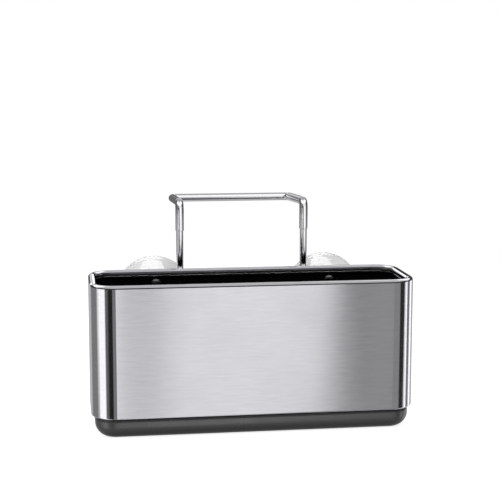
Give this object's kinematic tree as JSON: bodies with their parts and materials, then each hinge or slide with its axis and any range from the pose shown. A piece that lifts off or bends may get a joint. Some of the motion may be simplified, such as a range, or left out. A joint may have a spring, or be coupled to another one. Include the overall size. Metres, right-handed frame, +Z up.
{
  "type": "sponge holder",
  "caption": "Slim brushed steel sponge holder with a black inner bin, pull-off drip base, rear suction cups and a lift-off hanger loop on rods.",
  "frame": {"origin": "centre of the base's flat underside", "axes": "+X to the right seen from the front, along the long side; +Y to the back, towards the suction cups; +Z up"},
  "size_m": [0.222, 0.1424, 0.1544],
  "materials": {
    "brushed_steel": "brushed along the length, with a bright rolled rim",
    "polished_steel": "polished",
    "black_plastic": "fine moulded texture",
    "charcoal_plastic": "satin moulded",
    "clear_vinyl": "translucent, smooth",
    "dark_screw_steel": "dark coated",
    "white_nylon": "plain moulded"
  },
  "bodies": {
    "holder": {"steel_shell": "brushed_steel", "inner_liner": "black_plastic", "left_bracket": "black_plastic", "right_bracket": "black_plastic", "bracket_screws": "dark_screw_steel", "rod_pins": "polished_steel", "left_rod": "polished_steel", "right_rod": "polished_steel", "left_friction_sleeve": "white_nylon", "right_friction_sleeve": "white_nylon"},
    "base": {"drip_base": "charcoal_plastic"},
    "loop": {"hanger_loop": "polished_steel"},
    "left_cup": {"left_suction_cup": "clear_vinyl"},
    "right_cup": {"right_suction_cup": "clear_vinyl"}
  },
  "joints": [
    {"name": "base_release", "type": "slide", "parent": "holder", "child": "base", "axis": [0, 0, -1], "range_m": [0, 0.02]},
    {"name": "hanger_lift", "type": "slide", "parent": "holder", "child": "loop", "axis": [0, 0, 1], "range_m": [0, 0.02]},
    {"name": "left_cup_slide", "type": "slide", "parent": "holder", "child": "left_cup", "axis": [0, 0, -1], "range_m": [0, 0.0115]},
    {"name": "right_cup_slide", "type": "slide", "parent": "holder", "child": "right_cup", "axis": [0, 0, -1], "range_m": [0, 0.0115]}
  ]
}
